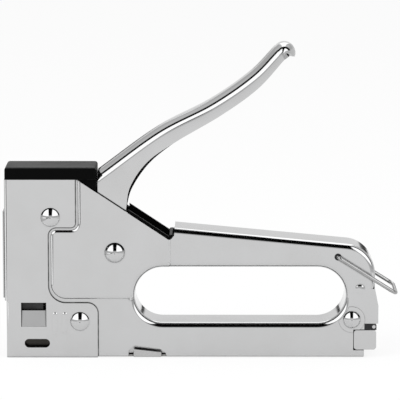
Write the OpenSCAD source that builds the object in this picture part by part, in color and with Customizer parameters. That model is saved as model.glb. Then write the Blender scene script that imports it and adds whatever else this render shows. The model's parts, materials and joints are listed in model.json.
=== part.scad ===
// Hand staple tacker: pressed steel body, squeeze lever, sprung ram and rear-loading magazine.
// X runs from the nose to the rear, Y across the body, Z up. The nose and magazine stand on Z = 0.

/* [Body shells] */
// Width of the body across the handle and rail
body_w = 20.8; // [18:0.1:24]
// Thickness of the body sheet
sheet = 1.0; // [0.8:0.1:1.2]
// Outer radius of the rolled edges
edge_r = 2.2; // [1.8:0.1:2.6]
// Fall of the handle's back towards the rear, in degrees
back_slope = 5.367; // [4:0.001:6.5]
// Height of the handle's back above the base, where it would meet the rear
back_rear_z = 45.9; // [45:0.1:46.5]
// Front end of the handle's back
back_front_x = -10.4; // [-11:0.1:-9]
// Rear face of the body
rear_x = 71.7; // [69:0.1:74]
// Radius of the rear corner seen from the side
rear_corner_r = 12.5; // [9:0.1:14]
// How far the rail's foot ends short of the rear
foot_setback = 4.4; // [3:0.1:6]
// Height at which the rolled rear ends
rear_web_z = 28.5; // [26:0.1:30]
// How far the bare rear edge stands out below the rolled rear
rear_lip = 1.4; // [0.5:0.1:1.5]
// Height of the side plates' lower edge
side_base_z = 0.5; // [0.3:0.1:1]

/* [Grip opening] */
// Front end of the opening
grip_front_x = -26.9; // [-28:0.1:-25]
// Rear end of the opening
grip_rear_x = 59.7; // [58:0.1:60]
// Lower edge of the opening
grip_low_z = 14.3; // [14.2:0.1:15]
// Upper edge of the opening
grip_high_z = 37.4; // [36:0.1:38]

/* [Raised panel] */
// Height of the raised panel above the body's side
panel_rise = 0.6; // [0.4:0.1:0.9]
// Radius of the panel's rolled edge
panel_edge_r = 1.5; // [1.2:0.1:1.8]
// Front edge of the panel's lower part
panel_front_x = -61.5; // [-62:0.1:-60]
// Front edge of the panel's upper part
panel_upper_x = -50.3; // [-52:0.1:-49]
// Lower edge of the panel
panel_low_z = 24.1; // [23.5:0.1:25]
// Height of the step between the panel's two parts
panel_step_z = 53.2; // [52:0.1:54]
// Radius of the panel's lower front corner
panel_low_r = 6.4; // [4:0.1:8]
// Radius of the panel's step corner
panel_step_r = 2.6; // [2.2:0.1:3.5]
// Rear edge of the panel on the handle
panel_rear_x = -12.0; // [-13:0.1:-11.5]

/* [Head and nose] */
// Front face of the head
head_front_x = -80.2; // [-80.5:0.1:-79.8]
// How far the nose is set back from the head
nose_setback = 0.7; // [0.3:0.1:0.9]
// Height of the nose's front face
nose_h = 23.6; // [22:0.1:25]
// Height of the head's top edge
head_top_z = 73.7; // [73:0.1:75]
// Thickness of the head cover
cover_t = 0.95; // [0.7:0.05:1.1]
// Gap between the head cover's edge and the raised panel
cover_gap = 0.9; // [0.7:0.1:1.2]
// Gap between the nose cover's upper edge and the raised panel
nose_gap = 1.5; // [1:0.1:2]
// Rear edge of the head cover at the nose
nose_rear_x = -42.1; // [-43:0.1:-41]
// Radius of the head cover's upper rear corner at the nose
nose_corner_r = 4.2; // [3:0.1:6]
// Radius of the head cover's front edges, seen from above
cover_front_r = 1.1; // [1:0.1:2.5]
// Slope of the side plates down to the handle, in degrees
slope_angle = 33.5; // [32:0.1:35]
// Point where the slope leaves the head's top edge
slope_top_x = -50.4; // [-51:0.1:-50]
// How far the side plates stop short of the cover's front
plate_setback = 0.85; // [0.7:0.05:1.2]
// Thickness of the front plate
front_plate_t = 0.7; // [0.5:0.1:1]
// Lower and upper ends of the front plate
front_plate_z = [24.7, 60.5]; // [24:0.1:62]

/* [Nose details] */
// Front edge of the lanced window
window_x = -73.5; // [-74:0.1:-72]
// Lower edge of the lanced window
window_z = 12.8; // [12:0.1:14]
// Width of the lanced window
window_w = 10.3; // [8:0.1:11]
// Height of the lanced window
window_h = 10.0; // [8:0.1:10.4]
// Height of the lanced tongue
tongue_h = 6.6; // [5:0.1:8]
// How far the tongue's free end is pushed in
tongue_push = 0.9; // [0.5:0.1:1.2]
// Centre of the oblong slot
slot_pos = [-66.95, 5.9]; // [-70:0.05:8]
// Length of the oblong slot
slot_l = 10.4; // [6:0.1:12]
// Width of the oblong slot
slot_w = 3.6; // [2:0.1:4]
// Centre of the first rib
rib_pos = [-59.6, 14.35]; // [-60:0.05:16]
// Distance between the two ribs
rib_pitch = 4.0; // [3.4:0.1:4.4]
// Height of a rib on the side
rib_h = 9.1; // [6:0.1:12]
// Width of a rib
rib_w = 2.1; // [1.5:0.1:2.6]
// How far a rib stands out
rib_rise = 0.35; // [0.2:0.05:0.5]

// Room round the nose's openings in the side plate under the cover
nose_room = 0.6; // [0.4:0.1:1]
// Clearance round the lanced tongue
tongue_gap = 0.25; // [0.2:0.05:0.4]

/* [Rivets and pivot] */
// Place of the head rivet
head_rivet_pos = [-61.3, 58.2]; // [-64:0.1:60]
// Place of the nose rivet
nose_rivet_pos = [-49.4, 15.0]; // [-51:0.1:16]
// Place of the rear rivet
rear_rivet_pos = [62.2, 15.8]; // [15:0.1:63]
// Radius of a rivet's domed head
rivet_head_r = 3.95; // [3.2:0.05:4.1]
// Height of a rivet's domed head
rivet_head_h = 1.8; // [1:0.1:2.5]
// Radius of the rear rivet's domed head
rear_head_r = 3.6; // [3.2:0.05:4.1]
// Radius of a rivet's shank
rivet_r = 2.2; // [1.5:0.1:2.4]
// Place of the lever's pivot
pivot_pos = [-35.0, 43.6]; // [-36:0.1:45]
// Radius of the pivot's domed head
pivot_head_r = 4.2; // [3.8:0.1:5]
// Height of the pivot's domed head
pivot_head_h = 2.2; // [1.5:0.1:2.6]
// Radius of the pivot's shank
pivot_r = 3.0; // [2.5:0.1:3.4]
// Radial running clearance of the lever on its pivot
pivot_play = 0.06; // [0.03:0.01:0.1]
// Radial clearance of a shank in a punched hole
hole_play = 0.05; // [0.02:0.01:0.1]
// Radius of the raised seat round the rear rivet
seat_r = 5.3; // [5:0.1:5.6]
// Height of the raised seat round the rear rivet
seat_rise = 0.25; // [0.15:0.05:0.4]
// Place of the small stop that the bail rests on
stop_pos = [65.5, 28.4]; // [27:0.1:67]
// Radius of the bail's stop
stop_r = 2.6; // [2:0.1:3]
// Height of the bail's stop
stop_rise = 0.55; // [0.3:0.05:0.8]

/* [Top cap] */
// Height of the cap above the head
cap_h = 5.0; // [4:0.1:7]
// Rear end of the cap
cap_rear_x = -42.5; // [-44:0.1:-42.4]
// Radius of the cap's upper edges
cap_edge_r = 1.2; // [0.8:0.1:2]
// Thickness of the cap's slot arms
arm_t = 1.2; // [0.8:0.1:1.3]
// How far the slot arms stand above the slope
arm_rise = 1.2; // [0.8:0.1:1.6]
// Front end of the slot arms' raised part, behind the lever
arm_front_x = -29.4; // [-29.6:0.1:-28]
// Depth of the slot arms below the slope
arm_depth = 3.0; // [2:0.1:4]

/* [Lever] */
// Room between the lever and the body's side, on each side
lever_room = 2.1; // [2:0.1:3]
// Thickness of the lever's sheet
lever_t = 1.2; // [1:0.1:1.4]
// Outer radius of the lever's rolled edges
lever_edge_r = 2.8; // [2.2:0.1:3]
// Points that the lever's back runs through, from its root to the start of its tip
lever_back = [[-42.0, 76.6], [-17.9, 94.1], [3.8, 105.5], [20.0, 116.8], [30.2, 127.3]]; // [-43:0.1:130]
// Points that the lever's lower edge runs through, from its tip to the body
lever_belly = [
    [34.2, 122.6], [23.4, 110.7], [8.7, 100.0], [-9.6, 89.2], [-21.5, 80.8], [-28.6, 70.6], [-30.4, 61.2]
]; // [-31:0.1:125]
// Centre of the lever's rolled tip
tip_pos = [34.3, 124.8]; // [33:0.1:126]
// Radius of the lever's rolled tip
tip_r = 4.5; // [3.5:0.1:5]
// Radius of the lever's root round its pivot
lever_root_r = 7.0; // [6:0.1:7]
// How far the black insert stands below the lever's root
insert_rise = 1.1; // [0.8:0.1:1.5]

/* [Ram and blade] */
// Front face of the driver blade
blade_front_x = -78.3; // [-78.4:0.05:-78.2]
// Thickness of the driver blade
blade_t = 1.2; // [0.8:0.1:1.2]
// How far the blade's edge is set in from the ram's side
blade_inset = 1.4; // [1.2:0.1:2.4]
// Depth of the ram from front to back
ram_d = 12.6; // [11:0.1:12.7]
// Room between the ram and the body's side, on each side
ram_room = 3.4; // [3.3:0.1:4.2]
// Height of the ram's lower face at rest
ram_z = 30.0; // [29:0.1:30]
// Height of the ram
ram_h = 12.0; // [11:0.1:13]
// Distance from the pivot to the centre of the lifting toe
toe_reach = 31.0; // [30.6:0.1:31.4]
// Radius of the lifting toe's end
toe_r = 2.1; // [1.6:0.1:2.3]
// Angle of the lifting toe below level at rest, in degrees
toe_angle = 15; // [14:0.5:16]
// Height of the blade's lower end above the base at rest
blade_z = 0.8; // [0.5:0.1:1.5]
// Room for the buffer between the frame's floor and the ram
buffer_room = 5.5; // [4:0.1:6]
// Clearance above and below the toe in the ram
toe_play = 0.6; // [0.5:0.1:0.8]
// Wall of the ram beside the lifting toe
ram_wall = 2.5; // [2.4:0.1:3]

/* [Springs] */
// Wire of the main spring
main_wire = 1.5; // [1.2:0.1:1.6]
// How far the main spring is set in from the ram's sides
main_inset = 1.0; // [0.9:0.1:2]
// Curls of the main spring
main_curls = 7; // [5:1:8]
// Wire of the pusher spring
pusher_wire = 0.7; // [0.6:0.1:0.8]
// Room between the pusher spring and the core's walls
pusher_room = 1.0; // [0.8:0.1:1.6]
// Curls of the pusher spring
pusher_curls = 30; // [20:1:40]
// Wire of the lever's return spring
return_wire = 0.7; // [0.6:0.1:0.7]
// Room between the pivot's shank and the return spring's wire
return_room = 1.2; // [1:0.1:1.4]

/* [Magazine] */
// Room between the fixed channel's inside and the body's side, on each side
channel_room = 4.3; // [4:0.1:4.4]
// Height of the fixed channel's roof
channel_top_z = 12.6; // [12.4:0.1:12.9]
// Front end of the magazine
magazine_front_x = -75.9; // [-76:0.1:-75]
// Room for the staple's legs between the sliding core and the channel
leg_room = 1.1; // [1.1:0.1:1.5]
// Thickness of the magazine's sheet
core_t = 0.8; // [0.6:0.1:0.9]
// Height of the sliding core's walls
core_top_z = 9.6; // [8.5:0.1:9.6]
// How far the floor plate is set in from the body's side
floor_inset = 1.7; // [1.6:0.1:2.6]
// Thickness of the floor plate
floor_t = 0.9; // [0.8:0.1:0.9]
// How far the pusher stands behind the magazine's front end at rest
pusher_setback = 0.9; // [0.6:0.1:1.5]
// Length of the pusher
pusher_l = 10.5; // [8:0.5:14]
// Radius of the guide rod
rod_r = 0.9; // [0.7:0.1:1]
// Running clearance of the magazine's sliding pieces
slide_play = 0.3; // [0.2:0.05:0.4]

/* [Magazine latch] */
// Front edge of the finger cap
latch_x = 63.1; // [62.5:0.1:64]
// Rear edge of the finger cap
latch_rear_x = 72.3; // [71:0.1:74]
// Lower edge of the finger cap
latch_low_z = 3.2; // [3:0.1:4]
// Upper edge of the finger cap
latch_high_z = 11.4; // [11:0.1:11.5]
// Radius of the finger cap's corners
latch_r = 1.3; // [0.8:0.1:2]
// Clearance round the finger cap and catch
latch_play = 0.25; // [0.2:0.05:0.4]
// Height of the catch's recess in the body
catch_top_z = 14.1; // [13.9:0.1:14.6]
// Front edge of the catch's recess
catch_x = 67.4; // [67:0.1:68]
// Length of the finger cap's plug in the sliding core
plug_l = 6; // [4:0.5:8]
// Radius of the catch's cross pin
catch_pin_r = 0.7; // [0.5:0.1:0.8]

/* [Locking tab] */
// Front end of the tab in the rail's lower edge
tab_x = -27.4; // [-30:0.1:-25]
// Length of the tab
tab_l = 11.4; // [8:0.1:14]
// Height of the tab's front end
tab_h = 3.3; // [2.8:0.1:4]
// Slot round the tab
tab_gap = 1.7; // [1:0.1:2.2]

/* [Bail] */
// Place of the bail's holes
bail_pos = [56.4, 41.8]; // [40:0.1:58]
// Radius of the bail's wire
bail_wire_r = 0.8; // [0.6:0.1:1]
// Length of the bail from its holes to its cross bar
bail_l = 28.1; // [26:0.1:32]
// Angle of the bail below level, in degrees
bail_angle = 32.0; // [28:0.1:33]
// Gap between the bail and the body's side
bail_gap = 0.35; // [0.3:0.05:0.5]
// Radius of the bail's bends
bail_bend_r = 2.6; // [2:0.1:4]

/* [Hidden] */
$fn = 64;
slack = 0.01;
far = 130;
rings = 8;
end_gap = 0.45;
fit = 0.1;
seat_gap = 0.05;
spring_seat = 0.2;
arm_sink = 0.3;
belly_lead = 0.6;
root_steps = 10;
lever_steps = 20;
tip_steps = 7;
tip_turn = 24;
tip_end = [2.0, -0.9];
tip_taper = 4.0;
tip_blunt = 0.4;
insert_steps = 15;
back_lap = 1.5;
back_inset = edge_r + back_lap / 2;
roll_steps = 4;
side_y = body_w / 2;
panel_y = side_y + panel_rise;
cover_y = panel_y - seat_gap;
back_front_z = back_rear_z + (rear_x - back_front_x) * tan(back_slope);
recess_y = cover_y - cover_t - seat_gap;
slope_end_x = back_front_x - 2.0;
slope_end_z = head_top_z - (slope_end_x - slope_top_x) * tan(slope_angle);
lever_y = side_y - lever_room;
ram_w = body_w - 2 * ram_room;
toe_w = ram_w - 2 * ram_wall;
blade_w = ram_w - 2 * blade_inset;
main_od = ram_w - 2 * main_inset;
channel_in_w = body_w - 2 * channel_room;
core_w = channel_in_w - 2 * leg_room;
pusher_od = core_w - 2 * core_t - 2 * pusher_room;
floor_w = body_w - 2 * floor_inset;
ram_front_x = blade_front_x + blade_t;
ram_rear_x = ram_front_x + ram_d;
ram_mid_x = (ram_front_x + ram_rear_x) / 2;
toe_pos = pivot_pos - toe_reach * [cos(toe_angle), sin(toe_angle)];
frame_y = ram_w / 2 + slide_play;
frame_top_z = head_top_z - sheet;
frame_floor_z = ram_z - buffer_room;
channel_y = channel_in_w / 2 + sheet;
grip_r = (grip_high_z - grip_low_z) / 2;
core_mid_z = (floor_t + core_top_z) / 2;
core_rear_x = rear_x - foot_setback;
channel_rear_x = latch_x - 2 * latch_play;
pusher_x = magazine_front_x + pusher_setback;
spring_start_x = pusher_x + pusher_l + spring_seat;
spring_end_x = latch_x - plug_l - spring_seat;
catch_pin_pos = [latch_rear_x - 1.4 * catch_pin_r, (latch_high_z + catch_top_z) / 2];
slope_foot_h = 2.4;
bump_l = 1.6;
bump_h = 2.6;
bump_r = 0.6;
bail_y = side_y + bail_gap + bail_wire_r;

// Unit vector along v
function unit(v) = v / norm(v);

// v turned a quarter turn to the left
function left_of(v) = [-v[1], v[0]];

// Position of a corner [x, z, radius]
function place(corner) = [corner[0], corner[1]];

// Turn to the left at corner b of a run a, b, c, in degrees
function turn(a, b, c) =
    let (u = place(b) - place(a), v = place(c) - place(b))
    atan2(u[0] * v[1] - u[1] * v[0], u * v);

// Points where the round of corner b starts and ends
function tangents(a, b, c) =
    b[2] == 0 ? [place(b)] :
    let (reach = b[2] * tan(abs(turn(a, b, c)) / 2))
    [place(b) - unit(place(b) - place(a)) * reach, place(b) + unit(place(c) - place(b)) * reach];

// Centre of the round of corner b
function round_centre(a, b, c) =
    tangents(a, b, c)[0] + left_of(unit(place(b) - place(a))) * b[2] * sign(turn(a, b, c));

// Corners moved inwards by d, or outwards where d is negative
function moved(corners, d) = [
    for (i = [0:len(corners) - 1])
        let (
            n = len(corners),
            a = corners[(i + n - 1) % n],
            b = corners[i],
            c = corners[(i + 1) % n],
            before = left_of(unit(place(b) - place(a))),
            after = left_of(unit(place(c) - place(b))),
            p = place(b) + (before + after) * d / (1 + before * after)
        )
        [p[0], p[1], b[2] == 0 ? 0 : max(b[2] - d * sign(turn(a, b, c)), 0)]
];

// Flat shape through corners [x, z, radius], counter-clockwise seen from the near side
module rounded(corners) {
    n = len(corners);
    runs = [for (i = [0:n - 1]) [corners[(i + n - 1) % n], corners[i], corners[(i + 1) % n]]];
    difference() {
        union() {
            polygon([for (run = runs) each tangents(run[0], run[1], run[2])]);
            for (run = runs)
                if (run[1][2] > 0 && turn(run[0], run[1], run[2]) > 0)
                    translate(round_centre(run[0], run[1], run[2]))
                        circle(run[1][2]);
        }
        for (run = runs)
            if (run[1][2] > 0 && turn(run[0], run[1], run[2]) < 0)
                translate(round_centre(run[0], run[1], run[2]))
                    circle(run[1][2]);
    }
}

// Flat shape with a round end of radius r about each of two points
module oblong(a, b, r) {
    union() {
        translate(a)
            circle(r);
        translate(b)
            circle(r);
        polygon([
            a - left_of(unit(b - a)) * r, b - left_of(unit(b - a)) * r,
            b + left_of(unit(b - a)) * r, a + left_of(unit(b - a)) * r
        ]);
    }
}

// Point at share t of the way along a smooth curve through a list of points
function along(points, t) =
    let (
        n = len(points) - 1,
        i = min(floor(t * n), n - 1),
        k = t * n - i,
        a = points[i],
        b = points[i + 1],
        ta = (b - points[max(i - 1, 0)]) / (i == 0 ? 1 : 2),
        tb = (points[min(i + 2, n)] - a) / (i == n - 1 ? 1 : 2)
    )
    a * (1 + 2 * k) * (1 - k) * (1 - k) + b * k * k * (3 - 2 * k)
        + ta * k * (1 - k) * (1 - k) - tb * k * k * (1 - k);

// Solid between y0 and y1 with a side view given by its children
module slab(y0, y1) {
    translate([0, y1, 0])
        rotate([90, 0, 0])
            linear_extrude(y1 - y0)
                children();
}

// Section of a sheet that rolls over by radius r at the given depth, towards side 1 or -1,
// and runs on flat by lap
module rolled_section(depth, r, base, side, lap = 0) {
    if (lap > 0)
        translate([side > 0 ? r : -r - lap, depth - sheet])
            square([lap, sheet]);
    if (base < depth - r)
        translate([side > 0 ? 0 : -sheet, base])
            square([sheet, depth - r - base]);
    difference() {
        intersection() {
            translate([side * r, depth - r])
                circle(r);
            translate([side > 0 ? 0 : -r, depth - r])
                square(r);
        }
        translate([side * r, depth - r])
            circle(r - sheet);
    }
}

// Half of space on one side of a plane across a run with the given heading
module half_space(heading, side) {
    rotate([0, -90 - heading, 0])
        translate([-far, -far, side > 0 ? 0 : -2 * far])
            cube(2 * far);
}

// Rolled sheet along an open run of corners [x, z, radius], from y = base out to depth.
// It rolls over to the left of the run, or to the right where flare is -1.
module rolled_run(corners, depth, r, base, flare = 1, lap = 0) {
    last = len(corners) - 1;
    bends = [for (i = [0:last]) i == 0 || i == last ? 0 : turn(corners[i - 1], corners[i], corners[i + 1])];
    ends = [
        for (i = [0:last])
            bends[i] == 0 ? [place(corners[i])] : tangents(corners[i - 1], corners[i], corners[i + 1])
    ];
    hubs = [
        for (i = [0:last])
            bends[i] == 0 ? place(corners[i]) : round_centre(corners[i - 1], corners[i], corners[i + 1])
    ];
    headings = [
        for (i = [0:last - 1])
            atan2(corners[i + 1][1] - corners[i][1], corners[i + 1][0] - corners[i][0])
    ];
    for (i = [0:last - 1]) {
        l = norm(ends[i + 1][0] - ends[i][len(ends[i]) - 1]);
        hub = bends[i] == 0 ? i + 1 : i;
        if (l > slack)
            translate([hubs[hub][0], 0, hubs[hub][1]])
                rotate([0, -90 - headings[i], 0])
                    translate([-corners[hub][2] * sign(bends[hub]), 0, hub == i ? -l : 0])
                        linear_extrude(l)
                            rolled_section(depth, r, base, flare, lap);
    }
    for (i = [1:last - 1])
        translate([hubs[i][0], 0, hubs[i][1]])
            intersection() {
                rotate([-90, 0, 0])
                    rotate_extrude()
                        translate([corners[i][2], 0])
                            rolled_section(depth, r, base, -flare * sign(bends[i]), lap);
                half_space(headings[i - 1], -1);
                half_space(headings[i], 1);
            }
}

// Wire swept along a path of points, with square ends
module wire(path, r, sides = 6) {
    n = len(path);
    tangents = [for (i = [0:n - 1]) unit(path[min(i + 1, n - 1)] - path[max(i - 1, 0)])];
    points = [
        for (i = [0:n - 1])
            let (
                t = tangents[i],
                u = unit(cross(t, abs(t[1]) < 0.9 ? [0, 1, 0] : [1, 0, 0])),
                v = cross(t, u)
            )
            for (k = [0:sides - 1])
                path[i] + r * (u * cos(360 * k / sides) + v * sin(360 * k / sides))
    ];
    skin = [
        for (i = [0:n - 2]) for (k = [0:sides - 1])
            let (l = (k + 1) % sides)
            each [
                [i * sides + k, i * sides + l, (i + 1) * sides + l],
                [i * sides + k, (i + 1) * sides + l, (i + 1) * sides + k]
            ]
    ];
    start_cap = [for (k = [1:sides - 2]) [0, k + 1, k]];
    end_cap = [for (k = [1:sides - 2]) [(n - 1) * sides, (n - 1) * sides + k, (n - 1) * sides + k + 1]];
    polyhedron(points, [for (f = concat(start_cap, skin, end_cap)) [f[0], f[2], f[1]]]);
}

// Points of a coil of the given mean radius and length along Z, with an end curl drawn in at each end
function coil(radius, length, curls, wire_d) = [
    for (i = [0:rings * curls])
        let (
            turn = i / rings,
            close = wire_d + end_gap,
            pitch = (length - wire_d - 2 * close) / (curls - 2)
        )
        [
            radius * cos(360 * turn), radius * sin(360 * turn),
            wire_d / 2 + (turn < 1 ? turn * close : min(turn - 1, curls - 2) * pitch + close)
                + max(turn - curls + 1, 0) * close
        ]
];

// Least distance between one curl of a path and the next
function least_gap(path, wire_d) = min([
    for (i = [0:len(path) - 1]) for (j = [i + rings - 2:1:min(i + rings + 4, len(path) - 1)])
        norm(path[i] - path[j]) - wire_d
]);

// Domed head of a rivet, standing on its own base circle
module dome(r, h) {
    ball = (r * r + h * h) / (2 * h);
    intersection() {
        translate([0, 0, h - ball])
            sphere(ball);
        cylinder(h = 2 * h, r = r + slack);
    }
}

// Pin across the body with a domed head on each side
module domed_pin(pos, shank_r, head_r, head_h, base_y) {
    translate([pos[0], 0, pos[1]]) {
        rotate([90, 0, 0])
            cylinder(h = 2 * base_y, r = shank_r, center = true);
        for (side = [0, 180])
            rotate([90, 0, side])
                translate([0, 0, base_y])
                    dome(head_r, head_h);
    }
}

// Round hole across the whole body
module cross_hole(pos, r) {
    translate([pos[0], 0, pos[1]])
        rotate([90, 0, 0])
            cylinder(h = far, r = r, center = true);
}

// Corners of the body's rolled edges, run out past the edges that stay bare
body_corners = [
    [-far, -far, 0], [far, -far, 0], [far, rear_web_z + slack + back_inset, 0],
    [rear_x, rear_web_z + slack + back_inset, 0], [rear_x, back_rear_z, rear_corner_r],
    [back_front_x, back_front_z, 0], [back_front_x, far, 0], [-far, far, 0]
];
back_run = [[rear_x, rear_web_z, 0], body_corners[4], body_corners[5]];

// Corners of a whole side plate
plate_corners = [
    [head_front_x + cover_t + plate_setback, side_base_z, 0], [core_rear_x, side_base_z, 0],
    [core_rear_x, latch_low_z - latch_play, 0], [rear_x + rear_lip, latch_low_z - latch_play, 0],
    [rear_x + rear_lip, rear_web_z - 5 * rear_lip, 0], [rear_x, rear_web_z, 0],
    [rear_x, back_rear_z, rear_corner_r], [back_front_x, back_front_z, 0],
    [back_front_x, slope_end_z + slope_foot_h, bump_r], [slope_end_x, slope_end_z, 2 * bump_r],
    [slope_top_x, head_top_z, 0], [head_front_x + cover_t + plate_setback, head_top_z, 0]
];

// Corners of the raised panel, run out past the edges that stay bare
panel_corners = [
    [panel_upper_x, far, 0], [panel_upper_x, panel_step_z, panel_step_r],
    [panel_front_x, panel_step_z, panel_step_r], [panel_front_x, panel_low_z, panel_low_r],
    [grip_front_x + edge_r, panel_low_z, 0], [panel_rear_x, grip_low_z + grip_r, 0], [panel_rear_x, far, 0]
];
panel_run = concat([[panel_upper_x, head_top_z, 0]], [for (i = [1:4]) panel_corners[i]]);

// Corners of the head cover, run out past its front
cover_corners = [
    [-far, 0, 0], [nose_rear_x, 0, 0], [nose_rear_x, panel_low_z - nose_gap, nose_corner_r],
    [panel_front_x - cover_gap, panel_low_z - nose_gap, panel_low_r + cover_gap],
    [panel_front_x - cover_gap, panel_step_z + cover_gap, panel_step_r + cover_gap],
    [panel_upper_x - cover_gap, panel_step_z + cover_gap, panel_step_r - cover_gap],
    [panel_upper_x - cover_gap, head_top_z, 0], [-far, head_top_z, 0]
];

// Corners of the grip opening
grip_corners = [
    [grip_front_x, grip_low_z, grip_r], [grip_rear_x, grip_low_z, grip_r],
    [grip_rear_x, grip_high_z, grip_r], [grip_front_x, grip_high_z, grip_r]
];
grip_start = [(grip_front_x + grip_rear_x) / 2, grip_low_z, 0];
grip_run = concat([grip_start], [for (i = [1:4]) grip_corners[i % 4]], [grip_start]);

// Run of the opening's edge that lies in the raised panel
panel_low_angle = asin((grip_low_z + grip_r - panel_low_z) / grip_r);
panel_grip_drop = grip_r * tan(panel_low_angle / 2);
panel_grip_run = [
    [panel_rear_x - panel_edge_r / 2, grip_high_z, 0], grip_corners[3],
    [grip_front_x, grip_low_z + grip_r - panel_grip_drop, grip_r],
    [
        grip_front_x + panel_grip_drop * sin(panel_low_angle),
        grip_low_z + grip_r - panel_grip_drop * (1 + cos(panel_low_angle)), 0
    ]
];

// Stations along the lever's back, round its tip, with the end of its side plates at each
tip_start = atan2(lever_back[4][1] - tip_pos[1], lever_back[4][0] - tip_pos[0]);
lever_backs = concat(
    [for (i = [0:root_steps - 1]) along(lever_back, i / root_steps / lever_steps)],
    [for (i = [1:lever_steps]) along(lever_back, i / lever_steps)],
    [
        for (i = [1:tip_steps])
            let (a = tip_start - i * tip_turn)
            tip_pos + tip_r * [cos(a), sin(a)]
    ]
);
lever_lows = concat(
    [
        for (i = [0:root_steps])
            let (a = 180 + 180 * i / root_steps)
            pivot_pos + lever_root_r * [cos(a), sin(a)]
    ],
    [for (i = [0:lever_steps - 2]) along(lever_belly, 1 - pow(i / (lever_steps - 2), belly_lead))],
    [for (i = [1:tip_steps]) lever_belly[0] + (tip_pos + tip_end - lever_belly[0]) * i / tip_steps]
);
lever_halves = [
    for (i = [0:root_steps + lever_steps + tip_steps - 1])
        let (k = max(i - root_steps - lever_steps + 1, 0) / (tip_steps + tip_blunt))
        lever_y - tip_taper * (1 - sqrt(1 - k * k))
];

// Recess for the magazine's latch
latch_recess = [
    [latch_x - latch_play, latch_low_z - latch_play], [far, latch_low_z - latch_play],
    [far, catch_top_z], [catch_x, catch_top_z], [catch_x, latch_high_z + latch_play],
    [latch_x - latch_play, latch_high_z + latch_play]
];

// Slot in the rail's lower edge, round the magazine's locking tab
module tab_slot() {
    soft = tab_gap / 3;
    start_x = tab_x - tab_gap;
    end_x = tab_x + tab_l + tab_gap;
    top_z = tab_h + tab_gap;
    polygon([
        [start_x - soft, -sheet], [end_x + 2 * soft, -sheet], [end_x, side_base_z + 2.5 * soft],
        [end_x - 4 * soft, top_z - 2.5 * soft], [start_x + 5 * soft, top_z],
        [start_x + 2.5 * soft, top_z - soft / 2], [start_x - soft / 2, tab_h - soft]
    ]);
}

// Oblong slot through the nose
module nose_slot() {
    oblong(slot_pos - [(slot_l - slot_w) / 2, 0], slot_pos + [(slot_l - slot_w) / 2, 0], slot_w / 2);
}

// One pressed half of the body, on the far side of the middle plane
module shell() {
    join = 0.7 * sheet;
    difference() {
        union() {
            slab(side_y - sheet, side_y)
                difference() {
                    intersection() {
                        rounded(plate_corners);
                        rounded(moved(body_corners, back_inset));
                    }
                    rounded(moved(cover_corners, -cover_gap / 2));
                    rounded(moved(panel_corners, join));
                    rounded(moved(grip_corners, -edge_r));
                }
            slab(panel_y - sheet, panel_y)
                difference() {
                    intersection() {
                        rounded(plate_corners);
                        rounded(moved(panel_corners, panel_edge_r));
                    }
                    rounded(moved(grip_corners, -edge_r));
                }
            slab(recess_y - sheet, recess_y)
                intersection() {
                    rounded(plate_corners);
                    rounded(moved(cover_corners, -cover_gap - join));
                }
            intersection() {
                slab(0, far)
                    difference() {
                        rounded(plate_corners);
                        rounded(moved(grip_corners, -edge_r / 2));
                    }
                union() {
                    rolled_run(panel_run, panel_y, panel_edge_r, panel_y - panel_edge_r);
                    rolled_run(
                        [[panel_rear_x, grip_high_z + sheet, 0], [panel_rear_x, head_top_z, 0]],
                        panel_y, panel_edge_r, panel_y - panel_edge_r
                    );
                }
            }
            rolled_run(back_run, side_y, edge_r, 0, lap = back_lap);
            rolled_run(grip_run, side_y, edge_r, 0, -1);
            rolled_run(panel_grip_run, panel_y, edge_r, side_y - edge_r, -1);
            slab(side_y - sheet / 2, side_y + seat_rise)
                difference() {
                    translate(rear_rivet_pos)
                        circle(seat_r);
                    rounded(moved(grip_corners, -edge_r));
                }
            translate([stop_pos[0], side_y - slack, stop_pos[1]])
                rotate([-90, 0, 0])
                    dome(stop_r, stop_rise + slack);
        }
        cross_hole(head_rivet_pos, rivet_r + hole_play);
        cross_hole(nose_rivet_pos, rivet_r + hole_play);
        cross_hole(rear_rivet_pos, rivet_r + hole_play);
        cross_hole(pivot_pos, pivot_r + hole_play);
        cross_hole(bail_pos, bail_wire_r + hole_play);
        slab(0, far)
            translate([window_x - nose_room, window_z - nose_room])
                square([window_w + 2 * nose_room, window_h + 2 * nose_room]);
        slab(0, far)
            nose_slot();
        slab(0, far)
            tab_slot();
        slab(side_y - 2 * sheet, far)
            polygon(latch_recess);
    }
}

module far_shell() {
    color("silver")
        shell();
}

module near_shell() {
    color("silver")
        mirror([0, 1, 0])
            shell();
}

// U-shaped wrap seen from above, from the front face back past the nose
module wrap(front_x) {
    difference() {
        union() {
            translate([front_x + cover_front_r, -cover_y])
                square([far, 2 * cover_y]);
            translate([front_x, -cover_y + cover_front_r])
                square([far, 2 * (cover_y - cover_front_r)]);
            for (side = [-1, 1])
                translate([front_x + cover_front_r, side * (cover_y - cover_front_r)])
                    circle(cover_front_r);
        }
        translate([front_x + cover_t, -cover_y + cover_t])
            square([2 * far, 2 * (cover_y - cover_t)]);
    }
}

// Rounded rib pressed out of the nose
module rib() {
    round_r = (rib_w * rib_w / 4 + rib_rise * rib_rise) / (2 * rib_rise);
    half_l = (rib_h - rib_w) / 2;
    intersection() {
        translate([0, cover_y + rib_rise - round_r, 0])
            union() {
                cylinder(h = 2 * half_l, r = round_r, center = true);
                for (side = [-1, 1])
                    translate([0, 0, side * half_l])
                        sphere(round_r);
            }
        slab(cover_y - sheet / 2, far)
            square([far, far], center = true);
    }
}

module lanced_tongue() {
    root_y = cover_y - fit;
    end_y = root_y - tongue_push;
    end_z = window_z + tongue_h;
    translate([window_x + tongue_gap, 0, 0])
        rotate([90, 0, 90])
            linear_extrude(window_w - 2 * tongue_gap)
                polygon([
                    [root_y, window_z], [end_y, end_z], [end_y - cover_t, end_z], [root_y - cover_t, window_z]
                ]);
}

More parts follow.
